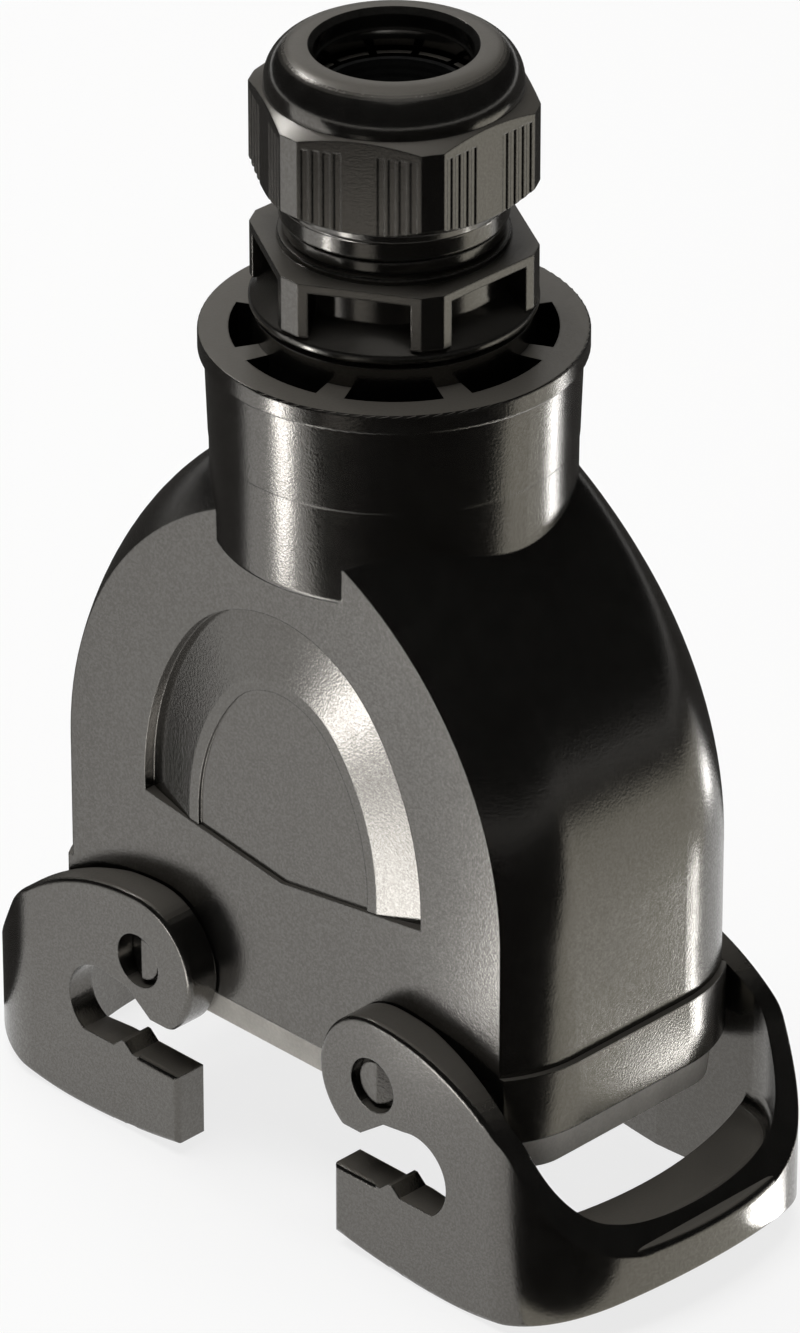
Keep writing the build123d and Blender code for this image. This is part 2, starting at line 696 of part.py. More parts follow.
def lever():
    """Right lever: two plates joined by a bowed handle with a shelf on top."""
    tall = lobe_centre()[1] + LOBE_RADIUS + OVERCUT
    walls = extrude(outer_plan() - inner_plan(), tall)
    deck = Pos(0, 0, SHELF_TOP - SHELF_THICKNESS) * extrude(shelf_plan(0), SHELF_THICKNESS)
    rib = extrude(shelf_plan(0) - shelf_plan(SHELF_RIB), SHELF_TOP - SHELF_THICKNESS / 2)
    cove = shelf_cove() & extrude(shelf_plan(0), tall)
    body = (walls + deck + rib + cove) & lever_side()
    body = fillet(lower_and_upper_bow_edge(body)[1], SHELF_EDGE_ROUND)
    body = fillet(lower_and_upper_bow_edge(body)[0], HANDLE_FOOT_ROUND)
    bore = cross_rod(TRUNNION_RADIUS + PIVOT_CLEARANCE, -PLATE_OUTER - OVERCUT, PLATE_OUTER + OVERCUT)
    return body - Pos(PIVOT_X, 0, PIVOT_Z) * bore


def corner_radius(across):
    """Distance of a hexagon's corners from its middle."""
    return across / 2 / math.cos(math.pi / HEX_SIDES)


def hexagon(across, low, high):
    """Hexagonal prism with corners towards the front and back, each cut to a narrow flat."""
    half_turn = 180 / HEX_SIDES
    corner_cut = corner_radius(across) - HEX_CORNER_CUT
    section = RegularPolygon(across / 2, HEX_SIDES, major_radius=False, rotation=half_turn)
    section &= RegularPolygon(corner_cut, HEX_SIDES, major_radius=False)
    return Pos(0, 0, low) * extrude(section, high - low)


def round_the_flats(shape):
    """Copies of a shape in front of each of the six flats."""
    return [Rot(0, 0, 360 / HEX_SIDES * side) * shape for side in range(HEX_SIDES)]


def hex_pockets():
    """Six cored windows in the flats of the gland's hexagon."""
    x_span = (POCKET_CORE_RADIUS - GLAND_WEB, HEX_ACROSS / 2 + OVERCUT)
    half = POCKET_WIDTH / 2
    return round_the_flats(block(x_span, (-half, half), (HEX_BOTTOM - OVERCUT, HEX_TOP - POCKET_TOP_FRAME)))


def neck():
    """Neck above the hexagon: shoulder, bead and tube with a seat for the grommet."""
    shoulder = HEX_TOP + SHOULDER_HEIGHT
    bead_low = shoulder + NECK_GROOVE
    bead_high = bead_low + BEAD_HEIGHT
    bead = NECK_RADIUS - BEAD_SINK
    groove = bead - BEAD_SINK
    tube_low = bead_high + NECK_GROOVE
    bore = NECK_RADIUS - NECK_WALL
    seat = HEX_TOP + SEAL_SEAT_HEIGHT
    foot = HEX_TOP - POCKET_TOP_FRAME
    points = [
        (bore, NECK_TOP),
        (bore, seat),
        (GLAND_BORE_RADIUS, seat - (bore - GLAND_BORE_RADIUS)),
        (GLAND_BORE_RADIUS, foot),
        (SHOULDER_RADIUS, foot),
        (SHOULDER_RADIUS, shoulder),
        (groove, shoulder),
        (groove, bead_low),
        (bead, bead_low),
        (bead, bead_high),
        (groove, bead_high),
        (groove, tube_low),
        (NECK_RADIUS, tube_low),
        (NECK_RADIUS, NECK_TOP),
    ]
    rounds = {points[index]: NECK_ROUND for index in (5, 8, 9, 12, 13)}
    return ring_profile(points, rounds)


def gland_body():
    """Gland body: threaded spigot, round flange, cored hexagon and neck."""
    spigot = tube(THREAD_RADIUS, GLAND_BORE_RADIUS, FLANGE_BOTTOM - THREAD_LENGTH, HEX_BOTTOM)
    core_top = HEX_TOP - POCKET_TOP_FRAME
    edge = (FLANGE_RADIUS, HEX_BOTTOM - FLANGE_EDGE)
    slope = (FLANGE_RADIUS - POCKET_CORE_RADIUS) * FLANGE_SLOPE
    flange_foot = (FLANGE_RADIUS, FLANGE_BOTTOM)
    points = [
        (GLAND_BORE_RADIUS, FLANGE_BOTTOM),
        flange_foot,
        edge,
        (POCKET_CORE_RADIUS, edge[1] + slope),
        (POCKET_CORE_RADIUS, core_top),
        (GLAND_BORE_RADIUS, core_top),
    ]
    flange = ring_profile(points, {flange_foot: FLANGE_ROUND, edge: FLANGE_ROUND})
    bore = rod(GLAND_BORE_RADIUS, FLANGE_BOTTOM, HEX_TOP + OVERCUT)
    frame = hexagon(HEX_ACROSS, HEX_BOTTOM, HEX_TOP) - hex_pockets() - bore
    half = O_RING_SECTION / 2 + O_RING_GAP
    groove_top = ENTRY_TOP + O_RING_SECTION
    groove = tube(O_RING_RADIUS + half, O_RING_RADIUS - half, FLANGE_BOTTOM - OVERCUT, groove_top)
    return (spigot + flange - groove) + frame + neck()


def gland_o_ring():
    """Sealing ring between the gland's flange and the entry boss."""
    height = ENTRY_TOP + O_RING_SECTION / 2
    return Pos(0, 0, height) * Torus(O_RING_RADIUS, O_RING_SECTION / 2)


def cap_nut():
    """Domed cap nut with fluted flats."""
    hex_part = hexagon(HEX_ACROSS, NUT_BOTTOM, NUT_HEX_TOP + NUT_CHAMFER) - flutes()
    corner = corner_radius(HEX_ACROSS)
    slope = NUT_CHAMFER / (corner - HEX_CORNER_CUT - DOME_RADIUS)
    envelope = ring_profile(
        [
            (0, NUT_BOTTOM),
            (HEX_ACROSS / 2, NUT_BOTTOM),
            (corner, NUT_BOTTOM + NUT_BOTTOM_SLOPE * (corner - HEX_ACROSS / 2)),
            (corner, NUT_HEX_TOP - slope * HEX_CORNER_CUT),
            (DOME_RADIUS, NUT_HEX_TOP + NUT_CHAMFER),
            (0, NUT_HEX_TOP + NUT_CHAMFER),
        ]
    )
    return (hex_part & envelope) + dome() - nut_bore()


def dome():
    """Rounded top of the cap nut."""
    crest = (DOME_RADIUS, DOME_TOP)
    points = [(0, NUT_HEX_TOP), (DOME_RADIUS, NUT_HEX_TOP), crest, (0, DOME_TOP)]
    return ring_profile(points, {crest: DOME_ROUND})


def nut_bore():
    """Inside of the cap nut: thread bore, clamping cone and flared mouth."""
    bore = NECK_RADIUS + NUT_CLEARANCE
    lip_top = DOME_TOP - MOUTH_DEPTH
    return ring_profile(
        [
            (0, NUT_BOTTOM - OVERCUT),
            (bore, NUT_BOTTOM - OVERCUT),
            (bore, CONE_FOOT),
            (CONE_FOOT_RADIUS, CONE_FOOT),
            (CONE_TOP_RADIUS, CONE_TOP),
            (MOUTH_RADIUS, lip_top),
            (MOUTH_RADIUS, DOME_TOP - MOUTH_FLARE),
            (MOUTH_RADIUS + MOUTH_FLARE, DOME_TOP),
            (MOUTH_RADIUS + MOUTH_FLARE, DOME_TOP + OVERCUT),
            (0, DOME_TOP + OVERCUT),
        ]
    )


def flutes():
    """Upright grip flutes in two groups on each flat."""
    low, high = NUT_BOTTOM - OVERCUT, NUT_HEX_TOP - NUT_CHAMFER
    depth_span = (HEX_ACROSS / 2 - FLUTE_DEPTH, HEX_ACROSS / 2 + OVERCUT)
    half = FLUTE_WIDTH / 2
    shifts = [FLUTE_START + FLUTE_PITCH * index for index in range(FLUTES_PER_SIDE)]
    shifts += [-shift for shift in shifts]
    cuts = []
    for shift in shifts:
        cuts += round_the_flats(block(depth_span, (shift - half, shift + half), (low, high)))
    return cuts


def cage_section():
    """Half section of the clamping cage: seat flange and tapered fingers."""
    flange = NECK_RADIUS - CAGE_SIDE_GAP
    root = CONE_FOOT_RADIUS - 2 * CAGE_SIDE_GAP
    tip = root - CONE_LEAN * (CAGE_TOP - CAGE_SHOULDER)
    return [
        (NECK_RADIUS - NECK_WALL, CAGE_BOTTOM),
        (flange, CAGE_BOTTOM),
        (flange, CAGE_SHOULDER),
        (root, CAGE_SHOULDER),
        (tip, CAGE_TOP),
        (tip - CAGE_WALL, CAGE_TOP),
        (root - CAGE_WALL, CAGE_SHOULDER),
    ]


def clamping_cage():
    """Slit cage whose fingers close on the cable when the nut is tightened."""
    half = CAGE_SLIT_WIDTH / 2
    slit = block((0, NECK_RADIUS), (-half, half), (CAGE_SHOULDER, CAGE_TOP + OVERCUT))
    step = 360 / CAGE_SLITS
    return ring_profile(cage_section()) - [Rot(0, 0, step * index) * slit for index in range(CAGE_SLITS)]


def sealing_grommet():
    """Elastic sleeve round the cable, inside the neck and the cage."""
    tip, root = cage_section()[5:]
    gap = GROMMET_SIDE_GAP
    bore = NECK_RADIUS - NECK_WALL - gap
    seat = HEX_TOP + SEAL_SEAT_HEIGHT + gap
    return ring_profile(
        [
            (GROMMET_BORE_RADIUS, seat),
            (bore, seat),
            (bore, CAGE_BOTTOM - gap),
            (root[0] - gap, CAGE_SHOULDER),
            (tip[0] - gap, CAGE_TOP - GROMMET_TOP_DROP),
            (GROMMET_BORE_RADIUS, CAGE_TOP - GROMMET_TOP_DROP),
        ]
    )


def build_parts():
    """Every piece of the hood by its name."""
    parts = {
        "hood_shell": hood_shell(),
        "rim_gasket": rim_gasket(),
        "right_lever": lever(),
        "gland_body": gland_body(),
        "gland_o_ring": gland_o_ring(),
        "cap_nut": cap_nut(),
        "clamping_cage": clamping_cage(),
        "sealing_grommet": sealing_grommet(),
    }
    parts["left_lever"] = mirror(parts["right_lever"], about=Plane.YZ)
    names = ["front_left", "back_left", "front_right", "back_right"]
    for name, (x, y) in zip(names, screw_places()):
        parts[f"threaded_bush_{name}"] = Pos(x, y, 0) * threaded_bush()
    return parts


os.makedirs("parts", exist_ok=True)
for node, solid in build_parts().items():
    export_step(solid, f"parts/{node}.step")
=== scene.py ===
"""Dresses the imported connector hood: moulded plastic, gland, seals, bushes and a pale studio."""

import json
import logging
import math
from dataclasses import dataclass, field
from enum import Enum
from typing import Any

import bpy
from mathutils import Matrix, Vector

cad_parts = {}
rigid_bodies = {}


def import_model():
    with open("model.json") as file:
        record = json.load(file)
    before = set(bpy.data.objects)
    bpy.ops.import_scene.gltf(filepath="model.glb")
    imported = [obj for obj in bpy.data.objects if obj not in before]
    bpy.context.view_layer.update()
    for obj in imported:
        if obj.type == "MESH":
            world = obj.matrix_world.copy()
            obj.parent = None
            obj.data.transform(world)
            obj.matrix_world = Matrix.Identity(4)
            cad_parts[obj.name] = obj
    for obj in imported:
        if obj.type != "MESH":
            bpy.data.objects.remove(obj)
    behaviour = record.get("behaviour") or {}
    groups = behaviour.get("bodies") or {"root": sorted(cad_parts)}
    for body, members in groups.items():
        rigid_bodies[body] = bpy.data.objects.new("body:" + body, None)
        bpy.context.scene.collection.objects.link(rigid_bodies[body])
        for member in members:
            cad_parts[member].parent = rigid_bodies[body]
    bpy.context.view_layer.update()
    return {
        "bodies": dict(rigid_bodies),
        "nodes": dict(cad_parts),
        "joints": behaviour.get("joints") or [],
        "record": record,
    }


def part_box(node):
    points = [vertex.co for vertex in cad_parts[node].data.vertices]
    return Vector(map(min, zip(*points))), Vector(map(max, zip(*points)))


LOG = logging.getLogger("hood")
MM = 0.001
WHITE = (1.0, 1.0, 1.0, 1.0)
Colour = tuple[float, float, float]
Point = tuple[float, float, float]
Plan = tuple[float, float]

# The studio's floor pieces: tone and apexes of the dark cards, and heights above the floor.
BLACK_CARD: Colour = (0.012, 0.011, 0.010)
CAMERA_SIDE: Plan = (0.05, -0.035)
FAR_SIDE: Plan = (-0.076, -0.044)
UPPER_CARD = 1.2 * MM
STRIP_HEIGHT = 3 * MM


class Light(Enum):
    """How a lamp of the studio shows up."""

    FILL = "lights surfaces and stays out of reflections"
    CARD = "shows in reflections"


class Signal:
    """A number in a shader, so that shader maths reads as a Python expression."""

    def __init__(self, tree: "Tree", socket: bpy.types.NodeSocket) -> None:
        """Wraps a socket.

        Args:
            tree: The tree that the socket is in.
            socket: An output that gives one number.
        """
        self.tree = tree
        self.socket = socket

    def _math(self, operation: str, *values: Any) -> "Signal":
        """Adds a Math node.

        Args:
            operation: Blender's name of the operation.
            values: Signals and numbers, in order.

        Returns:
            The node's result.
        """
        node = self.tree.node("ShaderNodeMath", {"operation": operation}, dict(enumerate(values)))
        return Signal(self.tree, node.outputs[0])

    def __add__(self, other: Any) -> "Signal":
        """Sum."""
        return self._math("ADD", self, other)

    __radd__ = __add__

    def __sub__(self, other: Any) -> "Signal":
        """Difference."""
        return self._math("SUBTRACT", self, other)

    def __rsub__(self, other: Any) -> "Signal":
        """Difference, taken from a number."""
        return self._math("SUBTRACT", other, self)

    def __mul__(self, other: Any) -> "Signal":
        """Product."""
        return self._math("MULTIPLY", self, other)

    __rmul__ = __mul__

    def __truediv__(self, other: Any) -> "Signal":
        """Quotient."""
        return self._math("DIVIDE", self, other)

    def root(self) -> "Signal":
        """Square root."""
        return self._math("SQRT", self)

    def angle_to(self, other: "Signal") -> "Signal":
        """Angle of the point whose y is this and whose x is the other signal."""
        return self._math("ARCTAN2", self, other)

    def zigzag(self, period: float) -> "Signal":
        """Wave that rises and falls between 0 and 1 in each period."""
        return self._math("PINGPONG", self, period / 2) / (period / 2)

    def step(self, low: float, high: float) -> "Signal":
        """Smooth step from 0 at low to 1 at high.

        Args:
            low: Value that gives 0.
            high: Value that gives 1.

        Returns:
            The step.
        """
        sockets = {"Value": self, "From Min": low, "From Max": high}
        node = self.tree.node("ShaderNodeMapRange", {"interpolation_type": "SMOOTHSTEP"}, sockets)
        return Signal(self.tree, node.outputs["Result"])

    def between(self, low: float, high: float, blur: float) -> "Signal":
        """1 between two values and 0 outside them.

        Args:
            low: Lower end.
            high: Upper end.
            blur: Width of the change at each end.

        Returns:
            The mask.
        """
        return self.step(low - blur, low) * (1 - self.step(high, high + blur))


@dataclass(frozen=True)
class Band:
    """A smooth step and how much of its result counts."""

    low: float
    high: float
    share: float = 1.0

    def of(self, signal: Signal) -> Signal:
        """The step of a signal, times the share."""
        return signal.step(self.low, self.high) * self.share


class Tree:
    """The nodes of one material or world."""

    BEVEL_SAMPLES = 4
    EDGE = Band(0.02, 0.3)

    def __init__(self, owner: bpy.types.Material | bpy.types.World) -> None:
        """Empties the owner's tree.

        Args:
            owner: The material or world to fill.
        """
        owner.use_nodes = True
        self.tree = owner.node_tree
        self.tree.nodes.clear()

    def node(
        self,
        kind: str,
        settings: dict[str, Any] | None = None,
        sockets: dict[Any, Any] | None = None,
    ) -> bpy.types.Node:
        """Adds a node.

        Args:
            kind: Blender's type name of the node.
            settings: Properties to set first.
            sockets: Values or links of the inputs, by name or number.

        Returns:
            The node.
        """
        made = self.tree.nodes.new(kind)
        for name, value in (settings or {}).items():
            setattr(made, name, value)
        for name, value in (sockets or {}).items():
            if isinstance(value, Signal):
                value = value.socket
            if isinstance(value, bpy.types.NodeSocket):
                self.tree.links.new(value, made.inputs[name])
            else:
                made.inputs[name].default_value = value
        return made

    def place(self) -> bpy.types.NodeSocket:
        """The point that is shaded, in metres, in the frame of the part."""
        return self.node("ShaderNodeTexCoord").outputs["Object"]

    def axes(self, place: bpy.types.NodeSocket) -> tuple[Signal, Signal, Signal]:
        """The three numbers of a point."""
        outputs = self.node("ShaderNodeSeparateXYZ", None, {0: place}).outputs
        return Signal(self, outputs[0]), Signal(self, outputs[1]), Signal(self, outputs[2])

    def upward(self) -> Signal:
        """How far the surface faces up, from -1 to 1."""
        return self.axes(self.node("ShaderNodeNewGeometry").outputs["True Normal"])[2]

    def noise(self, place: bpy.types.NodeSocket, size: float, detail: float = 3.0) -> Signal:
        """Cloudy noise.

        Args:
            place: The point to read it at.
            size: Size of its blotches in metres.
            detail: How many finer layers it has.

        Returns:
            The noise, around one half.
        """
        sockets = {"Vector": place, "Scale": 1 / size, "Detail": detail}
        return Signal(self, self.node("ShaderNodeTexNoise", None, sockets).outputs[0])

    def stretched(self, place: bpy.types.NodeSocket, scale: Point) -> bpy.types.NodeSocket:
        """The point with each axis scaled, for marks that run along one way."""
        node = self.node("ShaderNodeVectorMath", {"operation": "MULTIPLY"}, {0: place, 1: scale})
        return node.outputs["Vector"]

    def blend(self, low: Any, high: Any, factor: Signal) -> bpy.types.NodeSocket:
        """Colour between two colours.

        Args:
            low: Colour or socket at 0.
            high: Colour or socket at 1.
            factor: Where between them.

        Returns:
            The colour's socket.
        """
        ends = [end if isinstance(end, bpy.types.NodeSocket) else (*end, 1.0) for end in (low, high)]
        sockets = {"Factor": factor, 6: ends[0], 7: ends[1]}
        return self.node("ShaderNodeMix", {"data_type": "RGBA"}, sockets).outputs[2]

    def rounded(self, radius: float) -> tuple[bpy.types.NodeSocket, Signal]:
        """Normal with its edges rounded off.

        Args:
            radius: Radius of the rounding.

        Returns:
            The normal, and how far each point is on an edge, from 0 to 1.
        """
        settings = {"samples": self.BEVEL_SAMPLES}
        normal = self.node("ShaderNodeBevel", settings, {"Radius": radius}).outputs[0]
        plain = self.node("ShaderNodeNewGeometry").outputs["Normal"]
        dot = self.node("ShaderNodeVectorMath", {"operation": "DOT_PRODUCT"}, {0: normal, 1: plain})
        return normal, self.EDGE.of(1 - Signal(self, dot.outputs["Value"]))

    def bump(self, height: Signal, depth: float, normal: bpy.types.NodeSocket) -> bpy.types.NodeSocket:
        """Normal with fine relief.

        Args:
            height: Height of the surface, from 0 to 1.
            depth: How deep the relief is, in metres.
            normal: The normal that it is laid on.

        Returns:
            The new normal.
        """
        sockets = {"Height": height, "Distance": depth, "Strength": 1.0, "Normal": normal}
        return self.node("ShaderNodeBump", None, sockets).outputs[0]

    def surface(self, shader: bpy.types.Node) -> None:
        """Links a shader to the output."""
        kind = "ShaderNodeOutputWorld" if shader.type == "BACKGROUND" else "ShaderNodeOutputMaterial"
        self.node(kind, None, {"Surface": shader.outputs[0]})


@dataclass(frozen=True)
class MouldedPlastic:
    """Black plastic from a textured mould: fine grain, mottling, worn edges and painted top light that makes
    up-facing surfaces paler.
    """

    name: str
    colour: Colour = (0.0040, 0.0038, 0.0035)
    worn: Colour = (0.015, 0.0144, 0.013)
    # Paler colour for up-facing surfaces: painted top light, standing in for the light that falls on them
    # from above.
    painted_top_light: Colour = (0.084, 0.078, 0.068)
    sheen: Colour = (1.0, 0.945, 0.86)
    ior: float = 2.0
    roughness: float = 0.18
    roughness_spread: float = 0.04
    grain: float = 0.36 * MM
    grain_depth: float = 0.024 * MM
    grain_tone: Band = Band(0.35, 0.75, 0.25)
    mottle: float = 2.6 * MM
    mottle_tone: Band = Band(0.2, 0.8, 0.3)
    cloud: float = 17 * MM
    flow: float = 1.4 * MM
    flow_stretch: Point = (1.0, 1.0, 0.12)
    flow_spread: float = 0.05
    soft_detail: float = 2.0
    edge_radius: float = 0.35 * MM
    edge_wear: Band = Band(0.42, 0.72, 0.7)
    edge_polish: float = 0.03
    # Painted top light: how far a surface must face up to be painted paler and rougher, and how much the
    # grain breaks it up.
    top_light_band: Band = Band(0.76, 0.96)
    top_light_cover: float = 0.75
    top_light_grain: float = 0.5
    top_light_roughness: float = 0.2
    speckle: Band = Band(0.38, 0.66, 0.4)
    speckle_roughness: float = 0.22
    speckle_ior: float = 1.6

    def relief(self, tree: Tree, grain: Signal) -> Signal:
        """Height of the surface; a finish with more on it adds to this."""
        return grain

    def roughness_of(self, tree: Tree, mottle: Signal, edge: Signal) -> Signal:
        """Roughness of the bare plastic.

        Args:
            tree: The material's tree.
            mottle: The mottling.
            edge: How far each point is on an edge.

        Returns:
            The roughness.
        """
        place = tree.place()
        cloud = tree.noise(place, self.cloud, self.soft_detail)
        flow = tree.noise(tree.stretched(place, self.flow_stretch), self.flow, self.soft_detail)
        blotches = (mottle - 0.5) * self.roughness_spread + (cloud - 0.5) * self.roughness_spread
        return self.roughness + blotches + (flow - 0.5) * self.flow_spread - edge * self.edge_polish

    def build(self) -> bpy.types.Material:
        """Makes the material.

        Returns:
            The material.
        """
        material = bpy.data.materials.new(self.name)
        tree = Tree(material)
        place = tree.place()
        grain = tree.noise(place, self.grain)
        mottle = tree.noise(place, self.mottle)
        normal, edge = tree.rounded(self.edge_radius)
        tone = self.mottle_tone.of(mottle) + self.grain_tone.of(grain) + edge * self.edge_wear.of(mottle)
        # Painted top light: up-facing surfaces are blended toward the paler colour and made rougher,
        # standing in for the light that falls on them from above.
        painted_top_light_mask = self.top_light_band.of(tree.upward()) * (self.top_light_cover + grain * self.top_light_grain)
        plastic = tree.blend(self.colour, self.worn, tone)
        sockets = {
            "Base Color": tree.blend(plastic, self.painted_top_light, painted_top_light_mask),
            "Roughness": self.roughness_of(tree, mottle, edge) + painted_top_light_mask * self.top_light_roughness,
            "IOR": self.ior,
            "Coat Weight": self.speckle.of(grain),
            "Coat Roughness": self.speckle_roughness,
            "Coat IOR": self.speckle_ior,
            "Specular Tint": (*self.sheen, 1.0),
            "Normal": tree.bump(self.relief(tree, grain), self.grain_depth, normal),
        }
        tree.surface(tree.node("ShaderNodeBsdfPrincipled", None, sockets))
        return material


@dataclass(frozen=True)
class ThreadedPlastic(MouldedPlastic):
    """Smoother moulded plastic with a thread cut round the upper part of the neck."""

    pitch: float = 1.5 * MM
    thread_low: float = 148.6 * MM
    thread_high: float = 157.0 * MM
    thread_fade: float = 0.4 * MM
    thread_radius: Band = Band(15.4 * MM, 15.6 * MM)
    thread_depth: float = 24.0

    def relief(self, tree: Tree, grain: Signal) -> Signal:
        """Grain, with the thread's ridges where the neck carries them.

        Args:
            tree: The material's tree.
            grain: The fine grain.

        Returns:
            Height of the surface.
        """
        x, y, z = tree.axes(tree.place())
        turn = y.angle_to(x) / (2 * math.pi) * self.pitch
        ridge = (z + turn).zigzag(self.pitch)
        on_neck = self.thread_radius.of((x * x + y * y).root())
        mask = z.between(self.thread_low, self.thread_high, self.thread_fade) * on_neck
        return grain + ridge * mask * self.thread_depth


@dataclass(frozen=True)
class SealRubber:
    """Matt rubber with fine pores and a powdery bloom."""

    name: str
    colour: Colour
    bloom: Colour
    ior: float = 1.5
    roughness: float = 0.72
    roughness_spread: float = 0.2
    pore: float = 0.45 * MM
    pore_depth: float = 0.02 * MM
    pore_tone: Band = Band(0.35, 0.7, 0.3)
    patch: float = 6 * MM
    patch_tone: Band = Band(0.3, 0.7, 0.5)
    edge_radius: float = 0.3 * MM
    edge_tone: float = 0.2
    ring: float = 0.0
    ring_depth: float = 2.0

    def build(self) -> bpy.types.Material:
        """Makes the material.

        Returns:
            The material.
        """
        material = bpy.data.materials.new(self.name)
        tree = Tree(material)
        place = tree.place()
        pores = tree.noise(place, self.pore)
        patches = tree.noise(place, self.patch)
        normal, edge = tree.rounded(self.edge_radius)
        height = pores
        if self.ring:
            height = height + tree.axes(place)[2].zigzag(self.ring) * self.ring_depth
        tone = self.patch_tone.of(patches) + self.pore_tone.of(pores) + edge * self.edge_tone
        sockets = {
            "Base Color": tree.blend(self.colour, self.bloom, tone),
            "Roughness": self.roughness + (patches - 0.5) * self.roughness_spread,
            "IOR": self.ior,
            "Normal": tree.bump(height, self.pore_depth, normal),
        }
        tree.surface(tree.node("ShaderNodeBsdfPrincipled", None, sockets))
        return material


@dataclass(frozen=True)
class TurnedBrass:
    """Bright brass with the fine rings that a lathe leaves."""

    name: str
    centre: Point
    colour: Colour = (0.62, 0.42, 0.15)
    tarnish: Colour = (0.36, 0.23, 0.09)
    roughness: float = 0.24
    roughness_spread: float = 0.18
    ring: float = 0.22 * MM
    ring_depth: float = 0.012 * MM
    patch: float = 1.6 * MM
    patch_tone: Band = Band(0.45, 0.75)
    edge_radius: float = 0.15 * MM
    edge_polish: float = 0.5

    def build(self) -> bpy.types.Material:
        """Makes the material.

        Returns:
            The material.
        """
        material = bpy.data.materials.new(self.name)
        tree = Tree(material)
        place = tree.place()
        x, y, z = tree.axes(place)
        off_x, off_y = x - self.centre[0], y - self.centre[1]
        radius = (off_x * off_x + off_y * off_y).root()
        rings = (radius + z).zigzag(self.ring)
        patches = tree.noise(place, self.patch)
        normal, edge = tree.rounded(self.edge_radius)
        dull = self.patch_tone.of(patches) * (1 - edge * self.edge_polish)
        sockets = {
            "Base Color": tree.blend(self.colour, self.tarnish, dull),
            "Roughness": self.roughness + patches * self.roughness_spread,
            "Metallic": 1.0,
            "Normal": tree.bump(rings, self.ring_depth, normal),
        }
        tree.surface(tree.node("ShaderNodeBsdfPrincipled", None, sockets))
        return material


@dataclass
class Dressed:
    """A sub-assembly of the hood whose nodes take finishes."""

    frame: dict[str, Any]

    def finishes(self) -> dict[str, Any]:
        """The finish of each node."""
        return {}

    def dress(self) -> None:
        """Gives each node its finish."""
        made: dict[Any, bpy.types.Material] = {}
        for node, finish in self.finishes().items():
            piece = self.frame["nodes"][node]
            if finish not in made:
                made[finish] = finish.build()
            piece.data.materials.clear()
            piece.data.materials.append(made[finish])
            LOG.info("%s is dressed in %s", node, finish.name)


@dataclass
class Hood(Dressed):
    """The moulded shell with its rim seal and screw bushes."""

    shell: MouldedPlastic = MouldedPlastic("moulded_hood")
    seal: SealRubber = SealRubber("pale_seal", (0.50, 0.475, 0.435), (0.68, 0.65, 0.60))
    bushes: tuple[str, ...] = ("front_left", "back_left", "front_right", "back_right")

    def finishes(self) -> dict[str, Any]:
        """The finish of each node; each bush has its own, turned round its own axis.

        Returns:
            The finishes by node.
        """
        found: dict[str, Any] = {"hood_shell": self.shell, "rim_gasket": self.seal}
        for place in self.bushes:
            node = f"threaded_bush_{place}"
            low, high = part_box(node)
            found[node] = TurnedBrass(f"turned_brass_{place}", tuple((low + high) / 2))
        return found


@dataclass
class Levers(Dressed):
    """The two locking levers."""

    plastic: MouldedPlastic = MouldedPlastic("moulded_lever", roughness=0.19, mottle=3.4 * MM)

    def finishes(self) -> dict[str, Any]:
        """The finish of each node."""
        return {"right_lever": self.plastic, "left_lever": self.plastic}


@dataclass
class CableGland(Dressed):
    """The gland with its cap nut, cage, grommet and sealing ring."""

    body: ThreadedPlastic = ThreadedPlastic("threaded_plastic", roughness=0.16, grain_depth=0.008 * MM)
    smooth: MouldedPlastic = MouldedPlastic("gland_plastic", roughness=0.15, grain_depth=0.008 * MM)
    ring: SealRubber = SealRubber("dark_rubber", (0.012, 0.012, 0.012), (0.03, 0.03, 0.029))
    sleeve: SealRubber = SealRubber(
        "ribbed_rubber",
        (0.010, 0.010, 0.010),
        (0.024, 0.024, 0.023),
        ring=1.2 * MM,
    )

    def finishes(self) -> dict[str, Any]:
        """The finish of each node.

        Returns:
            The finishes by node.
        """
        return {
            "gland_body": self.body,
            "cap_nut": self.smooth,
            "clamping_cage": self.smooth,
            "gland_o_ring": self.ring,
            "sealing_grommet": self.sleeve,
        }


def put_in_scene(name: str, data: bpy.types.ID) -> bpy.types.Object:
    """Makes an object and links it to the scene.

    Args:
        name: Name of the object.
        data: Its mesh, light or camera.

    Returns:
        The object.
    """
    made = bpy.data.objects.new(name, data)
    bpy.context.scene.collection.objects.link(made)
    return made


@dataclass(frozen=True)
class Lamp:
    """A flat lamp that faces a point."""

    name: str
    place: Point
    target: Point
    size: Plan
    radiance: float
    kind: Light = Light.CARD
    length_along: Point = (0.0, 0.0, 1.0)

    @classmethod
    def on_floor(cls, name: str, middle: Plan, size: Plan, radiance: float, azimuth: float) -> "Lamp":
        """A lamp that lies just above the floor and faces up.

        Args:
            name: Name of the lamp.
            middle: Its place on the floor.
            size: Width and length.
            radiance: Brightness.
            azimuth: Direction of its length in degrees from +X.

        Returns:
            The lamp.
        """
        turn = math.radians(azimuth)
        along = (math.cos(turn), math.sin(turn), 0.0)
        place, above = (*middle, STRIP_HEIGHT), (*middle, 1.0)
        return cls(name, place, above, size, radiance, length_along=along)

    def build(self) -> None:
        """Makes the lamp."""
        data = bpy.data.lights.new(self.name, "AREA")
        data.shape = "RECTANGLE"
        data.size, data.size_y = self.size
        data.energy = self.radiance * math.pi * self.size[0] * self.size[1]
        lamp = put_in_scene(self.name, data)
        lamp.location = self.place
        away = (Vector(self.place) - Vector(self.target)).normalized()
        along = Vector(self.length_along)
        along = (along - along.dot(away) * away).normalized()
        turn = Matrix((along.cross(away), along, away)).transposed()
        lamp.rotation_euler = turn.to_euler()
        lamp.visible_camera = False
        lamp.visible_glossy = self.kind is Light.CARD
        LOG.info("lamp %s", self.name)


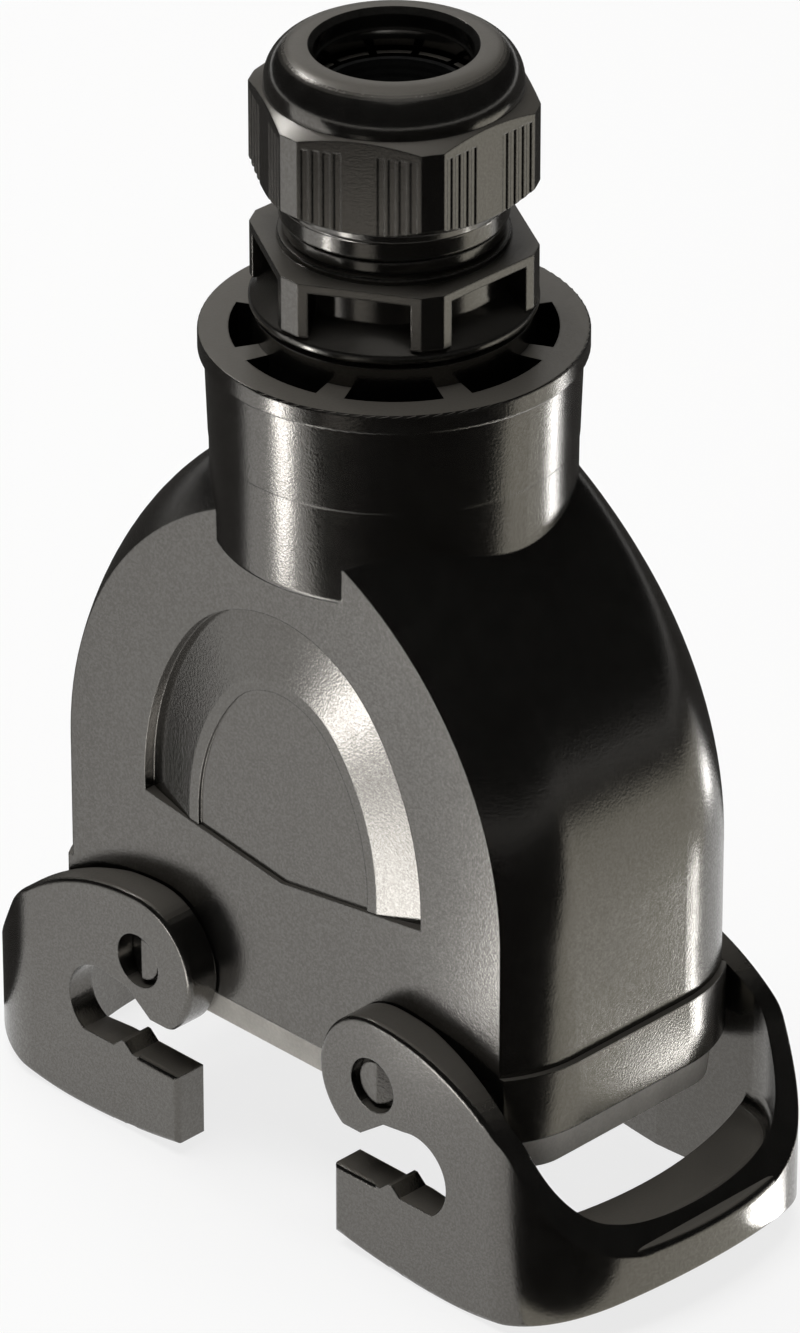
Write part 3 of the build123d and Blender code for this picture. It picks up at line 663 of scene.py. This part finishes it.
@dataclass(frozen=True)
class FloorCard:
    """A sector laid on the floor that only reflections show."""

    name: str
    start: float
    end: float
    colour: Colour
    apex: Plan
    outer: float = 3.0
    height: float = 0.6 * MM
    steps: int = 24

    def build(self) -> None:
        """Makes the card."""
        step = (self.end - self.start) / self.steps
        angles = [math.radians(self.start + step * index) for index in range(self.steps + 1)]
        x, y = self.apex
        points = [(x, y, self.height)]
        points += [(x + self.outer * math.cos(a), y + self.outer * math.sin(a), self.height) for a in angles]
        mesh = bpy.data.meshes.new(self.name)
        mesh.from_pydata(points, [], [list(range(len(points)))])
        card = put_in_scene(self.name, mesh)
        material = bpy.data.materials.new(self.name)
        tree = Tree(material)
        tree.surface(tree.node("ShaderNodeEmission", None, {"Color": (*self.colour, 1.0)}))
        mesh.materials.append(material)
        card.visible_camera = False
        card.visible_diffuse = False
        card.visible_shadow = False
        card.visible_transmission = False


def studio_lamps() -> tuple[Lamp, ...]:
    """The soft light from above, the cards in the air and the bright strips on the floor.

    Returns:
        The lamps, in the order in which they are made.
    """
    middle = (0.0, 0.0, 0.1)
    along_y = (0.0, 1.0, 0.0)
    return (
        Lamp("overhead", (-0.25, -0.1, 1.9), (0.0, 0.0, 0.0), (1.6, 1.6), 4.6, Light.FILL, along_y),
        Lamp("top_card", (0.05, 0.0, 1.3), middle, (0.6, 0.6), 0.2, length_along=along_y),
        Lamp("back_card", (-0.85, 0.85, 0.74), middle, (0.9, 0.62), 0.36),
        Lamp("left_strip", (-0.8, 0.05, 0.95), (0.0, 0.0, 0.15), (0.12, 0.12), 30.0),
        Lamp.on_floor("slope_strip", (-0.025, -0.117), (0.018, 0.090), 8.0, -122.0),
        Lamp.on_floor("left_collar_strip", (-0.0985, -0.2242), (0.036, 0.092), 15.0, -117.0),
        Lamp.on_floor("back_corner_strip", (0.0865, 0.0754), (0.007, 0.068), 12.0, 57.0),
        Lamp.on_floor("handle_strip", (0.068, 0.030), (0.007, 0.030), 12.0, 73.0),
        Lamp.on_floor("right_collar_strip", (0.088, 0.199), (0.034, 0.063), 9.0, 72.0),
    )


@dataclass
class Studio:
    """Floor, world, lamps and camera."""

    floor_half: float = 6.0
    floor_colour: Colour = (0.90, 0.895, 0.885)
    floor_own_light: float = 0.8
    horizon: Colour = (0.92, 0.92, 0.92)
    sky: Colour = (0.012, 0.012, 0.01164)
    horizon_band: Band = Band(-0.03, 0.03)
    camera_place: Point = (0.80261, -0.80257, 0.71763)
    azimuth: float = 44.961
    elevation: float = 29.518
    focal_pixels: float = 9424.572
    image_height: float = 1333.0
    sensor: float = 36.0
    lamps: tuple[Lamp, ...] = field(default_factory=studio_lamps)
    cards: tuple[FloorCard, ...] = (
        FloorCard("camera_side_card", -111.0, 38.0, BLACK_CARD, CAMERA_SIDE),
        FloorCard("nut_card", -180.0, 0.0, (0.70, 0.68, 0.64), (0.081, -0.262), 0.06, UPPER_CARD),
        FloorCard("end_far_card", 38.0, 76.0, BLACK_CARD, CAMERA_SIDE),
        FloorCard("end_side_card", 38.0, 76.0, (0.95, 0.93, 0.84), CAMERA_SIDE, 0.45, UPPER_CARD),
        FloorCard("far_side_card", 64.0, 218.0, (0.05, 0.048, 0.045), FAR_SIDE),
    )

    def make_camera(self) -> None:
        """Puts the camera where the photograph was taken from."""
        data = bpy.data.cameras.new("camera")
        data.sensor_width = self.sensor
        data.lens = self.sensor * self.focal_pixels / self.image_height
        camera = put_in_scene("camera", data)
        camera.location = self.camera_place
        camera.rotation_euler = (math.radians(90 - self.elevation), 0.0, math.radians(self.azimuth))
        bpy.context.scene.camera = camera

    def make_floor(self) -> None:
        """Lays a pale floor that keeps the object's shadow."""
        half = self.floor_half
        edges = [(-half, -half, 0.0), (half, -half, 0.0), (half, half, 0.0), (-half, half, 0.0)]
        mesh = bpy.data.meshes.new("floor")
        mesh.from_pydata(edges, [], [(0, 1, 2, 3)])
        floor = put_in_scene("floor", mesh)
        material = bpy.data.materials.new("pale_floor")
        tree = Tree(material)
        paths = tree.node("ShaderNodeLightPath").outputs
        seen = [Signal(tree, paths[f"Is {name} Ray"]) for name in ("Camera", "Glossy", "Transmission")]
        own = (seen[0] + seen[1] + seen[2]) * self.floor_own_light
        paint = tree.node("ShaderNodeBsdfDiffuse", None, {"Color": (*self.floor_colour, 1.0)})
        glow = tree.node("ShaderNodeEmission", None, {"Color": WHITE})
        sockets = {0: own, 1: paint.outputs[0], 2: glow.outputs[0]}
        tree.surface(tree.node("ShaderNodeMixShader", None, sockets))
        mesh.materials.append(material)

    def make_world(self) -> None:
        """Makes a world that is pale below the horizon and dark above it."""
        world = bpy.data.worlds.new("world")
        bpy.context.scene.world = world
        tree = Tree(world)
        direction = tree.node("ShaderNodeTexCoord").outputs["Generated"]
        height = tree.axes(direction)[2]
        colour = tree.blend(self.horizon, self.sky, self.horizon_band.of(height))
        tree.surface(tree.node("ShaderNodeBackground", None, {"Color": colour}))

    def build(self) -> None:
        """Makes the whole studio."""
        self.make_camera()
        self.make_floor()
        self.make_world()
        for lamp in self.lamps:
            lamp.build()
        for card in self.cards:
            card.build()
        bpy.context.scene.view_settings.view_transform = "Standard"


def main() -> None:
    """Loads the frame, dresses it and sets up the studio."""
    logging.basicConfig(level=logging.INFO, format="%(message)s")
    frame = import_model()
    Studio().build()
    for part in (Hood(frame), Levers(frame), CableGland(frame)):
        part.dress()


if __name__ == "__main__":
    main()
